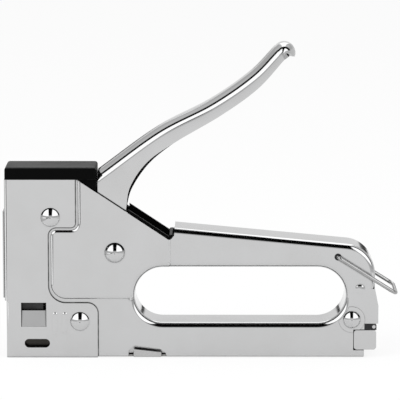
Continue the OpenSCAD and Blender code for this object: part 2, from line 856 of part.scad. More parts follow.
module head_cover() {
    color("silver")
        union() {
            difference() {
                union() {
                    intersection() {
                        union() {
                            translate([0, 0, nose_h])
                                linear_extrude(head_top_z - nose_h)
                                    wrap(head_front_x);
                            linear_extrude(nose_h + slack)
                                wrap(head_front_x + nose_setback);
                        }
                        slab(-far, far)
                            rounded(cover_corners);
                    }
                    for (side = [0, 1])
                        mirror([0, side, 0])
                            for (i = [0, 1])
                                translate([rib_pos[0] + i * rib_pitch, 0, rib_pos[1]])
                                    rib();
                }
                cross_hole(head_rivet_pos, rivet_r + hole_play);
                cross_hole(nose_rivet_pos, rivet_r + hole_play);
                slab(-far, far)
                    translate([window_x, window_z])
                        square([window_w, window_h]);
                slab(-far, far)
                    nose_slot();
            }
            for (side = [0, 1])
                mirror([0, side, 0])
                    lanced_tongue();
        }
}

module front_plate() {
    plate_y = cover_y - cover_front_r;
    bevel = 0.5;
    color("silver")
        difference() {
            translate([head_front_x - front_plate_t, -plate_y, front_plate_z[0]])
                cube([front_plate_t, 2 * plate_y, front_plate_z[1] - front_plate_z[0]]);
            for (side = [-1, 1])
                translate([head_front_x - front_plate_t, side * plate_y, 0])
                    rotate([0, 0, 45])
                        cube([bevel, bevel, 2 * far], center = true);
        }
}

// Line of the slope, moved up by rise
function slope_z(x, rise) = head_top_z - (x - slope_top_x) * tan(slope_angle) + rise / cos(slope_angle);

module top_cap() {
    arm_y = panel_y - sheet - fit;
    arm_start_x = cap_rear_x - sheet;
    cap_y = cover_y - fit;
    cap_front_x = head_front_x + 2 * fit;
    plug_x = slope_top_x + bump_r;
    plug_rise = arm_rise - arm_depth;
    bump_lap = 0.4;
    edge_facets = 24;
    color("black")
        union() {
            hull() {
                for (x = [cap_front_x + cap_edge_r, cap_rear_x - cap_edge_r]) for (y = [-1, 1])
                    translate([x, y * (cap_y - cap_edge_r), head_top_z + cap_h - cap_edge_r])
                        sphere(cap_edge_r, $fn = edge_facets);
                for (x = [cap_front_x + cap_edge_r, cap_rear_x - cap_edge_r]) for (y = [-1, 1])
                    translate([x, y * (cap_y - cap_edge_r), head_top_z])
                        cylinder(h = sheet, r = cap_edge_r, $fn = edge_facets);
            }
            slab(-arm_y, arm_y)
                polygon([
                    [plug_x, head_top_z + slack], [plug_x, slope_z(plug_x, plug_rise)],
                    [cap_rear_x, slope_z(cap_rear_x, plug_rise)], [cap_rear_x, head_top_z + slack]
                ]);
            for (side = [0, 1])
                mirror([0, side, 0])
                    slab(arm_y - arm_t, arm_y)
                        polygon([
                            [arm_front_x, slope_z(arm_front_x, arm_rise)],
                            [arm_front_x, slope_z(arm_front_x, -arm_sink)],
                            [arm_start_x, slope_z(arm_start_x, -arm_sink)],
                            [arm_start_x, slope_z(arm_start_x, -arm_depth)],
                            [slope_end_x, slope_z(slope_end_x, -arm_depth)],
                            [slope_end_x + 2 * bump_r, slope_end_z],
                            [slope_end_x + bump_l, slope_end_z + bump_h],
                            [slope_end_x + bump_r, slope_z(slope_end_x + bump_r, arm_rise) + bump_r],
                            [slope_end_x - bump_r, slope_z(slope_end_x - bump_r, arm_rise)]
                        ]);
            slab(-arm_y, arm_y)
                rounded([
                    [slope_end_x - bump_lap, slope_end_z - slope_foot_h, 0],
                    [slope_end_x + sheet, slope_end_z - bump_l, 0],
                    [slope_end_x + bump_l, slope_end_z + bump_h, 2 * bump_lap],
                    [slope_end_x - bump_lap, slope_end_z + bump_h - bump_lap, bump_r]
                ]);
        }
}

module drive_frame() {
    front_x = ram_front_x + 0.5;
    foot_z = channel_top_z - 5;
    ear_x = head_rivet_pos[0] + 4;
    ear_low_z = head_rivet_pos[1] - 5;
    ear_high_z = head_rivet_pos[1] + 5;
    color("slategray")
        difference() {
            union() {
                for (side = [0, 1])
                    mirror([0, side, 0])
                        slab(frame_y, frame_y + sheet)
                            polygon([
                                [front_x, foot_z], [ram_rear_x, foot_z], [ram_rear_x, ear_low_z],
                                [ear_x, ear_low_z], [ear_x, ear_high_z], [ram_rear_x, ear_high_z],
                                [ram_rear_x, frame_top_z], [front_x, frame_top_z]
                            ]);
                for (z = [frame_floor_z - sheet, frame_top_z - sheet])
                    translate([front_x, -frame_y - slack, z])
                        cube([ram_rear_x - front_x, 2 * (frame_y + slack), sheet]);
            }
            cross_hole(head_rivet_pos, rivet_r + hole_play);
        }
}

module buffer() {
    inset = 2;
    buffer_y = frame_y - 0.8;
    color("black")
        translate([ram_front_x + inset, -buffer_y, frame_floor_z])
            cube([ram_d - 2 * inset, 2 * buffer_y, buffer_room - slide_play]);
}

main_room = frame_top_z - sheet - ram_z - ram_h;
main_coil = coil((main_od - main_wire) / 2, main_room - 2 * spring_seat, main_curls, main_wire);

module main_spring() {
    color("dimgray")
        translate([ram_mid_x, 0, ram_z + ram_h + spring_seat])
            wire(main_coil, main_wire / 2);
}

return_steps = 12;
leg_steps = 3;
return_coil = [
    for (i = [-leg_steps:return_steps + leg_steps])
        let (
            turn = min(max(i, 0), return_steps) / rings,
            r = pivot_r + return_room,
            leg = return_room * (min(i, 0) - max(i - return_steps, 0))
        )
        [
            r * cos(360 * turn), r * sin(360 * turn) + leg,
            return_wire / 2 + turn * (return_wire + end_gap)
        ]
];

module lever_spring() {
    color("dimgray")
        translate([pivot_pos[0], -toe_w / 2 - fit, pivot_pos[1]])
            rotate([90, 0, 0])
                wire(return_coil, return_wire / 2);
}

module magazine_channel() {
    ear_r = 4.4;
    channel_l = channel_rear_x - magazine_front_x;
    tab_t = sheet - 2 * fit;
    tab_fall = 1.3;
    web_t = 0.7;
    color("slategray")
        difference() {
            union() {
                translate([magazine_front_x, -channel_y, channel_top_z - sheet])
                    cube([channel_l, 2 * channel_y, sheet]);
                for (side = [0, 1])
                    mirror([0, side, 0]) {
                        slab(channel_y - sheet, channel_y) {
                            translate([magazine_front_x, floor_t + slide_play])
                                square([channel_l, channel_top_z - floor_t - slide_play]);
                            for (pos = [nose_rivet_pos, rear_rivet_pos]) {
                                translate([pos[0] - ear_r, channel_top_z - sheet])
                                    square([2 * ear_r, pos[1] - channel_top_z + sheet]);
                                translate(pos)
                                    circle(ear_r);
                            }
                        }
                        slab(side_y - seat_gap - tab_t, side_y - seat_gap)
                            polygon([
                                [tab_x, fit], [tab_x + tab_l, fit],
                                [tab_x + tab_l, tab_h - tab_fall], [tab_x, tab_h]
                            ]);
                        translate([tab_x, channel_y - slack, floor_t + slide_play])
                            cube([tab_l, side_y - sheet - channel_y + slide_play, web_t]);
                    }
            }
            cross_hole(nose_rivet_pos, rivet_r + hole_play);
            cross_hole(rear_rivet_pos, rivet_r + hole_play);
            slab(-channel_y - sheet, channel_y + sheet)
                translate([channel_rear_x, -sheet])
                    square([far, channel_top_z]);
        }
}

module lever_pivot() {
    color("silver")
        domed_pin(pivot_pos, pivot_r, pivot_head_r, pivot_head_h, panel_y);
}

module head_rivet() {
    color("silver")
        domed_pin(head_rivet_pos, rivet_r, rivet_head_r, rivet_head_h, cover_y);
}

module nose_rivet() {
    color("silver")
        domed_pin(nose_rivet_pos, rivet_r, rivet_head_r, rivet_head_h, cover_y);
}

module rear_rivet() {
    color("silver")
        domed_pin(rear_rivet_pos, rivet_r, rear_head_r, rivet_head_h, side_y + seat_rise);
}

// Skin of the lever: a U-section with rolled edges, from its pivot to its tip
module lever_skin() {
    n = len(lever_backs);
    roll = [for (k = [roll_steps:-1:0]) let (a = 90 * k / roll_steps) [1 - cos(a), 1 - sin(a)]];
    points = [
        for (i = [0:n - 1])
            let (
                p = lever_backs[i],
                along_back = unit(lever_backs[min(i + 1, n - 1)] - lever_backs[max(i - 1, 0)]),
                inward = -left_of(along_back),
                down = i == 0 ? [0, -1] / (inward * [0, -1]) : inward,
                low = lever_lows[i],
                half = lever_halves[i],
                outer = [for (c = roll) [c[0] * lever_edge_r, half - c[1] * lever_edge_r]],
                bend_r = lever_edge_r - lever_t,
                inner = [for (c = roll) [lever_t + c[0] * bend_r, half - lever_t - c[1] * bend_r]],
                top = concat(outer, [for (k = [roll_steps:-1:0]) [outer[k][0], -outer[k][1]]]),
                under = concat(inner, [for (k = [roll_steps:-1:0]) [inner[k][0], -inner[k][1]]]),
                ring = concat(
                    [[low[0], half, low[1]]],
                    [for (c = top) let (q = p + down * c[0]) [q[0], c[1], q[1]]],
                    [[low[0], -half, low[1]], [low[0], lever_t - half, low[1]]],
                    [
                        for (k = [len(under) - 1:-1:0])
                            let (c = under[k], q = p + down * c[0])
                            [q[0], c[1], q[1]]
                    ],
                    [[low[0], half - lever_t, low[1]]]
                )
            )
            each ring
    ];
    m = len(points) / n;
    skin = [
        for (i = [0:n - 2]) for (k = [0:m - 1])
            let (l = (k + 1) % m)
            each [[i * m + k, (i + 1) * m + k, (i + 1) * m + l], [i * m + k, (i + 1) * m + l, i * m + l]]
    ];
    half_m = m / 2;
    ends = [
        for (k = [0:half_m - 2])
            each [[k, k + 1, m - 2 - k], [k, m - 2 - k, m - 1 - k]]
    ];
    caps = concat(
        ends,
        [for (f = ends) [for (k = [2:-1:0]) (n - 1) * m + f[k]]]
    );
    polyhedron(points, concat(skin, caps));
}

module lever() {
    color("silver")
        difference() {
            lever_skin();
            cross_hole(pivot_pos, pivot_r + pivot_play);
        }
}

module lever_insert() {
    inner_y = lever_y - lever_t - fit;
    root_x = lever_back[0][0] + 2;
    root_room = 8;
    outward = [0.8, -0.6];
    rim = [
        for (i = [0:insert_steps])
            let (t = i / insert_steps)
            along(lever_belly, 1 - t / 2) + insert_rise * sin(180 * t) * outward
    ];
    color("black")
        slab(-inner_y, inner_y)
            difference() {
                polygon(concat(
                    [[root_x, lever_belly[6][1] + sheet]], rim,
                    [[lever_belly[3][0] - root_room, lever_belly[3][1] + sheet]],
                    [[root_x, lever_back[0][1] - 2 * sheet]]
                ));
                translate(pivot_pos)
                    circle(lever_root_r + root_room);
            }
}

module lift_toe() {
    hub_r = 2 * pivot_r;
    color("slategray")
        difference() {
            slab(-toe_w / 2, toe_w / 2)
                union() {
                    translate(pivot_pos)
                        circle(hub_r);
                    translate(toe_pos)
                        circle(toe_r);
                    translate(pivot_pos)
                        rotate(toe_angle)
                            polygon([
                                [0, hub_r - slack], [-toe_reach, toe_r - slack],
                                [-toe_reach, -toe_r + slack], [0, -hub_r + slack]
                            ]);
                }
            cross_hole(pivot_pos, pivot_r + pivot_play);
        }
}

module ram() {
    notch_y = toe_w / 2 + 0.4;
    notch_x = toe_pos[0] - toe_r - 3 * toe_play;
    color("slategray")
        difference() {
            translate([ram_front_x, -ram_w / 2, ram_z])
                cube([ram_d, ram_w, ram_h]);
            translate([notch_x, -notch_y, toe_pos[1] - toe_r - toe_play])
                cube([far, 2 * notch_y, 2 * (toe_r + toe_play)]);
        }
}

module driver_blade() {
    color("gray")
        translate([blade_front_x, -blade_w / 2, blade_z])
            cube([blade_t, blade_w, ram_z + ram_h - blade_z]);
}

module magazine_core() {
    front_x = magazine_front_x + 0.4;
    color("gray")
        union() {
            translate([front_x, -floor_w / 2, 0])
                cube([core_rear_x - front_x, floor_w, floor_t]);
            for (side = [0, 1])
                mirror([0, side, 0])
                    translate([front_x, core_w / 2 - core_t, floor_t - slack])
                        cube([latch_x - front_x, core_t, core_top_z - floor_t]);
        }
}

module guide_rod() {
    front_x = magazine_front_x + 1;
    color("gray")
        translate([front_x, 0, core_mid_z])
            rotate([0, 90, 0])
                cylinder(h = latch_x - front_x, r = rod_r);
}

pusher_coil = coil((pusher_od - pusher_wire) / 2, spring_end_x - spring_start_x, pusher_curls, pusher_wire);

module pusher_spring() {
    color("dimgray")
        translate([spring_start_x, 0, core_mid_z])
            rotate([0, 90, 0])
                wire(pusher_coil, pusher_wire / 2);
}

module latch_cap() {
    plug_y = core_w / 2 - core_t - fit;
    web_x = latch_x + latch_r;
    color("lightgray")
        union() {
            slab(-side_y, side_y)
                rounded([
                    [latch_x, latch_low_z, latch_r], [latch_rear_x, latch_low_z, latch_r],
                    [latch_rear_x, latch_high_z, latch_r], [latch_x, latch_high_z, latch_r]
                ]);
            translate([web_x, -floor_w / 2, floor_t])
                cube([core_rear_x - web_x, floor_w, latch_low_z - floor_t + slack]);
            difference() {
                translate([latch_x - plug_l, -plug_y, floor_t + fit])
                    cube([plug_l + latch_r, 2 * plug_y, core_top_z - floor_t - 2 * fit]);
                translate([latch_x - 2 * plug_l, 0, core_mid_z])
                    rotate([0, 90, 0])
                        cylinder(h = 2 * plug_l, r = rod_r + hole_play);
            }
        }
}

module latch_catch() {
    catch_y = side_y - 2 * fit;
    front_x = catch_x + latch_play;
    end_x = latch_rear_x + fit;
    top_z = catch_top_z - latch_play;
    corner_r = 0.5;
    color("black")
        difference() {
            slab(-catch_y, catch_y)
                rounded([
                    [front_x, latch_high_z, 0], [end_x, latch_high_z, 0],
                    [end_x, top_z, corner_r], [front_x, top_z, corner_r]
                ]);
            cross_hole(catch_pin_pos, catch_pin_r + hole_play);
        }
}

module catch_pin() {
    color("silver")
        translate([catch_pin_pos[0], 0, catch_pin_pos[1]])
            rotate([90, 0, 0])
                cylinder(h = 2 * side_y, r = catch_pin_r, center = true);
}

module pusher() {
    saddle_y = channel_in_w / 2 - slide_play;
    saddle_h = channel_top_z - sheet - floor_t - 2 * slide_play;
    wall_play = 0.15;
    color("gray")
        difference() {
            translate([pusher_x, -saddle_y, floor_t + slide_play])
                cube([pusher_l, 2 * saddle_y, saddle_h]);
            for (side = [0, 1])
                mirror([0, side, 0])
                    translate([magazine_front_x, core_w / 2 - core_t - wall_play, 0])
                        cube([far, core_t + 2 * wall_play, core_top_z + slide_play]);
            translate([magazine_front_x, 0, core_mid_z])
                rotate([0, 90, 0])
                    cylinder(h = far, r = rod_r + fit);
        }
}

// Quarter bend of wire in the XY plane, turning left from +X round a centre at +Y
module bend(bend_r, wire_r) {
    translate([0, bend_r, 0])
        rotate([0, 0, -90])
            rotate_extrude(angle = 90)
                translate([bend_r, 0])
                    circle(wire_r);
}

module bail() {
    end_r = 2 * bail_wire_r;
    end_y = side_y - sheet - bail_wire_r;
    color("silver")
        translate([bail_pos[0], 0, bail_pos[1]])
            rotate([0, bail_angle, 0])
                union() {
                    for (side = [0, 1])
                        mirror([0, side, 0]) {
                            translate([end_r, -bail_y, 0])
                                rotate([0, 90, 0])
                                    cylinder(h = bail_l - bail_bend_r - end_r, r = bail_wire_r);
                            translate([bail_l - bail_bend_r, -bail_y, 0])
                                bend(bail_bend_r, bail_wire_r);
                            translate([end_r, -bail_y, 0])
                                mirror([1, 0, 0])
                                    bend(end_r, bail_wire_r);
                            translate([0, -end_y, 0])
                                rotate([90, 0, 0])
                                    cylinder(h = bail_y - end_r - end_y, r = bail_wire_r);
                        }
                    translate([bail_l, 0, 0])
                        rotate([90, 0, 0])
                            cylinder(h = 2 * (bail_y - bail_bend_r), r = bail_wire_r, center = true);
                }
}

echo(main_spring_gap = least_gap(main_coil, main_wire));
echo(pusher_spring_gap = least_gap(pusher_coil, pusher_wire));

near_shell();
far_shell();
head_cover();
front_plate();
top_cap();
drive_frame();
buffer();
main_spring();
lever_spring();
magazine_channel();
lever_pivot();
head_rivet();
nose_rivet();
rear_rivet();
lever();
lever_insert();
lift_toe();
ram();
driver_blade();
magazine_core();
guide_rod();
pusher_spring();
latch_cap();
latch_catch();
catch_pin();
pusher();
bail();
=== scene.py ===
import json
import math

import bmesh
import bpy
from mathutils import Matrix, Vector

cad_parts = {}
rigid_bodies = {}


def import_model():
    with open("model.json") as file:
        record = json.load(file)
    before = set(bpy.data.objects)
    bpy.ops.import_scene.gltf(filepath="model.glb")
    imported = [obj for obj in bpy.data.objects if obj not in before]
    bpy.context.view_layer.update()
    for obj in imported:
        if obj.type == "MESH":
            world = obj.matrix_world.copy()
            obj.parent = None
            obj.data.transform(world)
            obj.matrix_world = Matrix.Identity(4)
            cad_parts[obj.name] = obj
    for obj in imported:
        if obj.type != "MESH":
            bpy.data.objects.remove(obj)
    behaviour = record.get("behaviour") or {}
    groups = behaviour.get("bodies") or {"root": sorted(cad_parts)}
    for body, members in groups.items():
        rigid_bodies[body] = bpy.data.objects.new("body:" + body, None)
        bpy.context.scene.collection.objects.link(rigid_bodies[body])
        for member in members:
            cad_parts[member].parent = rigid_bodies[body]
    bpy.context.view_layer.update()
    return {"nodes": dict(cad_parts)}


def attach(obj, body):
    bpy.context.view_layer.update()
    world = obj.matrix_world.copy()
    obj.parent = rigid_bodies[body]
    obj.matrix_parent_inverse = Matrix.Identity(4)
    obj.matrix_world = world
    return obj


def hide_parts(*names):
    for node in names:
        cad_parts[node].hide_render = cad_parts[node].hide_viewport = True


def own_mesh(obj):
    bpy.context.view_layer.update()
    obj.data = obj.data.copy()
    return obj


for leftover in list(bpy.data.objects):
    bpy.data.objects.remove(leftover)

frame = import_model()
scene = bpy.context.scene
nodes = frame["nodes"]
mm = 0.001


# Helpers for shader nodes
def newGroup(name, inputs, outputs):
    group = bpy.data.node_groups.new(name, "ShaderNodeTree")
    for label, kind, value in inputs:
        socket = group.interface.new_socket(label, in_out="INPUT", socket_type=kind)
        socket.default_value = value
    for label, kind in outputs:
        group.interface.new_socket(label, in_out="OUTPUT", socket_type=kind)
    return group, group.nodes.new("NodeGroupInput"), group.nodes.new("NodeGroupOutput")


def mathNode(tree, operation, a, b=None):
    node = tree.nodes.new("ShaderNodeMath")
    node.operation = operation
    for slot, value in enumerate((a, b)):
        if value is None:
            continue
        if isinstance(value, (int, float)):
            node.inputs[slot].default_value = value
        else:
            tree.links.new(value, node.inputs[slot])
    return node.outputs[0]


# Brings a value from -1 to 1 into a ramp's 0 to 1
def rampedRange(tree, value):
    node = tree.nodes.new("ShaderNodeMath")
    node.operation = "MULTIPLY_ADD"
    node.inputs[1].default_value = 0.5
    node.inputs[2].default_value = 0.5
    tree.links.new(value, node.inputs[0])
    return node.outputs[0]


def rampNode(tree, value, stops):
    node = tree.nodes.new("ShaderNodeValToRGB")
    elements = node.color_ramp.elements
    while len(elements) < len(stops):
        elements.new(0.5)
    for element, (position, level) in zip(elements, stops):
        element.position = position
        element.color = (level, level, level, 1) if isinstance(level, (int, float)) else (*level, 1)
    tree.links.new(value, node.inputs["Fac"])
    return node.outputs["Color"]


def mixNode(tree, factor, first, second):
    node = tree.nodes.new("ShaderNodeMix")
    node.data_type = "RGBA"
    for label, value in (("Factor", factor), ("A", first), ("B", second)):
        if isinstance(value, tuple):
            node.inputs[label].default_value = (*value, 1)
        else:
            tree.links.new(value, node.inputs[label])
    return node.outputs["Result"]


def noiseNode(tree, vector, scale, detail=3.0, roughness=0.55):
    node = tree.nodes.new("ShaderNodeTexNoise")
    node.inputs["Scale"].default_value = scale
    node.inputs["Detail"].default_value = detail
    node.inputs["Roughness"].default_value = roughness
    tree.links.new(vector, node.inputs["Vector"])
    return node.outputs["Fac"]


# Soft cloudy marks left by handling: Mask is 0 on clean metal and 1 on a mark
def buildSmudges():
    group, groupIn, groupOut = newGroup(
        "smudges",
        [("Scale", "NodeSocketFloat", 60.0), ("Amount", "NodeSocketFloat", 0.5)],
        [("Mask", "NodeSocketFloat")],
    )
    place = group.nodes.new("ShaderNodeTexCoord").outputs["Object"]
    noise = group.nodes.new("ShaderNodeTexNoise")
    noise.inputs["Detail"].default_value = 4.0
    noise.inputs["Roughness"].default_value = 0.6
    group.links.new(place, noise.inputs["Vector"])
    group.links.new(groupIn.outputs["Scale"], noise.inputs["Scale"])
    marks = rampNode(group, noise.outputs["Fac"], [(0.42, 0.0), (0.68, 1.0)])
    level = mathNode(group, "MULTIPLY", marks, groupIn.outputs["Amount"])
    group.links.new(level, groupOut.inputs["Mask"])
    return group


# Fine drawn lines along X: Height for a bump, and the same noise as a Mask
def buildDrawnGrain():
    group, groupIn, groupOut = newGroup(
        "drawnGrain",
        [("Scale", "NodeSocketFloat", 900.0), ("Stretch", "NodeSocketFloat", 0.04)],
        [("Height", "NodeSocketFloat"), ("Mask", "NodeSocketFloat")],
    )
    place = group.nodes.new("ShaderNodeTexCoord").outputs["Object"]
    split = group.nodes.new("ShaderNodeSeparateXYZ")
    join = group.nodes.new("ShaderNodeCombineXYZ")
    group.links.new(place, split.inputs[0])
    drawn = mathNode(group, "MULTIPLY", split.outputs["X"], groupIn.outputs["Stretch"])
    group.links.new(drawn, join.inputs["X"])
    group.links.new(split.outputs["Y"], join.inputs["Y"])
    group.links.new(split.outputs["Z"], join.inputs["Z"])
    noise = group.nodes.new("ShaderNodeTexNoise")
    noise.inputs["Detail"].default_value = 2.0
    group.links.new(join.outputs[0], noise.inputs["Vector"])
    group.links.new(groupIn.outputs["Scale"], noise.inputs["Scale"])
    group.links.new(noise.outputs["Fac"], groupOut.inputs["Height"])
    group.links.new(noise.outputs["Fac"], groupOut.inputs["Mask"])
    return group


# Painted shade held in seams and under rims, found by ambient occlusion: Mask is 1 deep in a corner and 0 in
# the open
def buildSeamShade():
    group, groupIn, groupOut = newGroup(
        "seamShade",
        [("Reach", "NodeSocketFloat", 0.0015), ("Amount", "NodeSocketFloat", 1.0)],
        [("Mask", "NodeSocketFloat")],
    )
    hollow = group.nodes.new("ShaderNodeAmbientOcclusion")
    hollow.samples = 8
    group.links.new(groupIn.outputs["Reach"], hollow.inputs["Distance"])
    depth = rampNode(group, hollow.outputs["AO"], [(0.45, 1.0), (0.9, 0.0)])
    place = group.nodes.new("ShaderNodeTexCoord").outputs["Object"]
    patches = noiseNode(group, place, 260.0)
    broken = rampNode(group, patches, [(0.3, 0.7), (0.6, 1.0)])
    level = mathNode(group, "MULTIPLY", mathNode(group, "MULTIPLY", depth, broken), groupIn.outputs["Amount"])
    group.links.new(level, groupOut.inputs["Mask"])
    return group


# Edges rubbed by use: Mask is 1 on a sharp outer edge and 0 on a flat face
def buildEdgeWear():
    group, groupIn, groupOut = newGroup(
        "edgeWear",
        [("Width", "NodeSocketFloat", 0.0003), ("Amount", "NodeSocketFloat", 1.0)],
        [("Mask", "NodeSocketFloat")],
    )
    rounded = group.nodes.new("ShaderNodeBevel")
    rounded.samples = 4
    group.links.new(groupIn.outputs["Width"], rounded.inputs["Radius"])
    facing = group.nodes.new("ShaderNodeNewGeometry").outputs["Normal"]
    compare = group.nodes.new("ShaderNodeVectorMath")
    compare.operation = "DOT_PRODUCT"
    group.links.new(rounded.outputs[0], compare.inputs[0])
    group.links.new(facing, compare.inputs[1])
    edges = rampNode(group, compare.outputs["Value"], [(0.85, 1.0), (0.99, 0.0)])
    place = group.nodes.new("ShaderNodeTexCoord").outputs["Object"]
    chips = rampNode(group, noiseNode(group, place, 420.0, 5.0, 0.7), [(0.42, 0.0), (0.6, 1.0)])
    level = mathNode(group, "MULTIPLY", mathNode(group, "MULTIPLY", edges, chips), groupIn.outputs["Amount"])
    group.links.new(level, groupOut.inputs["Mask"])
    return group


# Painted sheen on faces that look up: a lighter colour, broken into specks, stands in for the light these
# faces catch
def buildTopSheen():
    group, groupIn, groupOut = newGroup(
        "topSheen", [("Amount", "NodeSocketFloat", 1.0)], [("Mask", "NodeSocketFloat")]
    )
    facing = group.nodes.new("ShaderNodeNewGeometry").outputs["Normal"]
    split = group.nodes.new("ShaderNodeSeparateXYZ")
    group.links.new(facing, split.inputs[0])
    up = rampNode(group, split.outputs["Z"], [(0.6, 0.0), (0.95, 1.0)])
    place = group.nodes.new("ShaderNodeTexCoord").outputs["Object"]
    specks = rampNode(group, noiseNode(group, place, 700.0, 4.0, 0.65), [(0.3, 0.6), (0.7, 1.0)])
    level = mathNode(group, "MULTIPLY", mathNode(group, "MULTIPLY", up, specks), groupIn.outputs["Amount"])
    group.links.new(level, groupOut.inputs["Mask"])
    return group


smudges = buildSmudges()
drawnGrain = buildDrawnGrain()
seamShade = buildSeamShade()
edgeWear = buildEdgeWear()
topSheen = buildTopSheen()


def placeGroup(tree, group, **values):
    node = tree.nodes.new("ShaderNodeGroup")
    node.node_tree = group
    for label, value in values.items():
        node.inputs[label].default_value = value
    return node


# The finishes of the real pieces
def startMaterial(name):
    material = bpy.data.materials.new(name)
    material.use_nodes = True
    tree = material.node_tree
    tree.nodes.clear()
    shader = tree.nodes.new("ShaderNodeBsdfPrincipled")
    output = tree.nodes.new("ShaderNodeOutputMaterial")
    tree.links.new(shader.outputs[0], output.inputs["Surface"])
    return material, tree, shader


def bumpNode(tree, shader, height, strength, distance):
    bump = tree.nodes.new("ShaderNodeBump")
    bump.inputs["Strength"].default_value = strength
    bump.inputs["Distance"].default_value = distance
    tree.links.new(height, bump.inputs["Height"])
    tree.links.new(bump.outputs[0], shader.inputs["Normal"])


def metalMaterial(name, look):
    material, tree, shader = startMaterial(name)
    shader.inputs["Metallic"].default_value = 1.0
    marks = placeGroup(tree, smudges, Scale=look["markScale"], Amount=look["marks"])
    grain = placeGroup(tree, drawnGrain, Scale=look["grainScale"], Stretch=look["stretch"])
    # painted shade: seams, corners and recesses are darkened towards a near-black colour
    paintedShade = placeGroup(tree, seamShade, Reach=look["shadeReach"] * mm, Amount=look["paintedShade"])
    wear = placeGroup(tree, edgeWear, Width=0.25 * mm, Amount=look["wear"])
    color = mixNode(tree, marks.outputs["Mask"], look["color"], look["markColor"])
    color = mixNode(tree, wear.outputs["Mask"], color, look["wearColor"])
    color = mixNode(tree, paintedShade.outputs["Mask"], color, look["paintedShadeColor"])
    # painted shade: forward of the given X, inside the nose, the colour goes near-black
    if "shadedBefore" in look:
        split = tree.nodes.new("ShaderNodeSeparateXYZ")
        tree.links.new(tree.nodes.new("ShaderNodeTexCoord").outputs["Object"], split.inputs[0])
        inNoseShade = mathNode(tree, "LESS_THAN", split.outputs["X"], look["shadedBefore"] * mm)
        color = mixNode(tree, inNoseShade, color, look["noseShadeColor"])
    tree.links.new(color, shader.inputs["Base Color"])
    rough = mathNode(tree, "MULTIPLY", marks.outputs["Mask"], look["markRough"])
    rough = mathNode(tree, "ADD", rough, look["rough"])
    tree.links.new(rough, shader.inputs["Roughness"])
    bumpNode(tree, shader, grain.outputs["Height"], look["grain"], 0.02 * mm)
    return material


def plasticMaterial(name, look):
    material, tree, shader = startMaterial(name)
    shader.inputs["Specular IOR Level"].default_value = look["specular"]
    place = tree.nodes.new("ShaderNodeTexCoord").outputs["Object"]
    cells = noiseNode(tree, place, look["cellScale"], 2.0)
    wear = placeGroup(tree, edgeWear, Width=0.3 * mm, Amount=look["wear"])
    # painted sheen: faces that look up are lightened in specks
    sheen = placeGroup(tree, topSheen, Amount=look["sheen"])
    color = mixNode(tree, cells, look["color"], look["lightColor"])
    color = mixNode(tree, sheen.outputs["Mask"], color, look["sheenColor"])
    tree.links.new(mixNode(tree, wear.outputs["Mask"], color, look["wearColor"]), shader.inputs["Base Color"])
    marks = placeGroup(tree, smudges, Scale=look["markScale"], Amount=1.0)
    rough = mathNode(tree, "MULTIPLY", marks.outputs["Mask"], look["markRough"])
    tree.links.new(mathNode(tree, "ADD", rough, look["rough"]), shader.inputs["Roughness"])
    bumpNode(tree, shader, cells, look["grain"], 0.05 * mm)
    return material


nickel = metalMaterial("platedNickel", {
    "color": (0.56, 0.562, 0.565), "markColor": (0.53, 0.53, 0.53), "rough": 0.07, "markRough": 0.06,
    "markScale": 45.0, "marks": 0.6, "grainScale": 700.0, "stretch": 0.08, "grain": 0.05,
    "shadeReach": 1.2, "paintedShade": 0.9, "paintedShadeColor": (0.015, 0.015, 0.015),
    "wear": 0.3, "wearColor": (0.66, 0.65, 0.63),
})
steel = metalMaterial("brightSteel", {
    "color": (0.5, 0.5, 0.49), "markColor": (0.42, 0.41, 0.4), "rough": 0.22, "markRough": 0.12,
    "markScale": 60.0, "marks": 0.8, "grainScale": 1200.0, "stretch": 0.05, "grain": 0.25,
    "shadeReach": 1.5, "paintedShade": 0.8, "paintedShadeColor": (0.03, 0.028, 0.025),
    "wear": 0.5, "wearColor": (0.62, 0.61, 0.6),
})
channelSteel = metalMaterial("channelSteel", {
    "color": (0.5, 0.5, 0.5), "markColor": (0.42, 0.42, 0.41), "rough": 0.16, "markRough": 0.1,
    "markScale": 60.0, "marks": 0.8, "grainScale": 1000.0, "stretch": 0.05, "grain": 0.2,
    "shadeReach": 1.0, "paintedShade": 0.8, "paintedShadeColor": (0.02, 0.02, 0.02),
    "wear": 0.4, "wearColor": (0.6, 0.6, 0.59),
    # forward of X -40 mm the colour is painted shade for the inside of the nose
    "shadedBefore": -40.0, "noseShadeColor": (0.035, 0.033, 0.03),
})
# near-black colour: painted shade for the steel deep inside the head, seen through its slots
shadedInnerSteel = metalMaterial("innerSteelShade", {
    "color": (0.05, 0.05, 0.05), "markColor": (0.03, 0.03, 0.03), "rough": 0.3, "markRough": 0.15,
    "markScale": 80.0, "marks": 0.9, "grainScale": 1200.0, "stretch": 0.05, "grain": 0.3,
    "shadeReach": 2.0, "paintedShade": 0.9, "paintedShadeColor": (0.01, 0.01, 0.01),
    "wear": 0.4, "wearColor": (0.4, 0.4, 0.39),
})
springSteel = metalMaterial("springWire", {
    "color": (0.36, 0.36, 0.37), "markColor": (0.28, 0.27, 0.27), "rough": 0.25, "markRough": 0.1,
    "markScale": 90.0, "marks": 0.8, "grainScale": 1500.0, "stretch": 0.3, "grain": 0.15,
    "shadeReach": 0.6, "paintedShade": 0.6, "paintedShadeColor": (0.02, 0.018, 0.015),
    "wear": 0.2, "wearColor": (0.5, 0.5, 0.5),
})
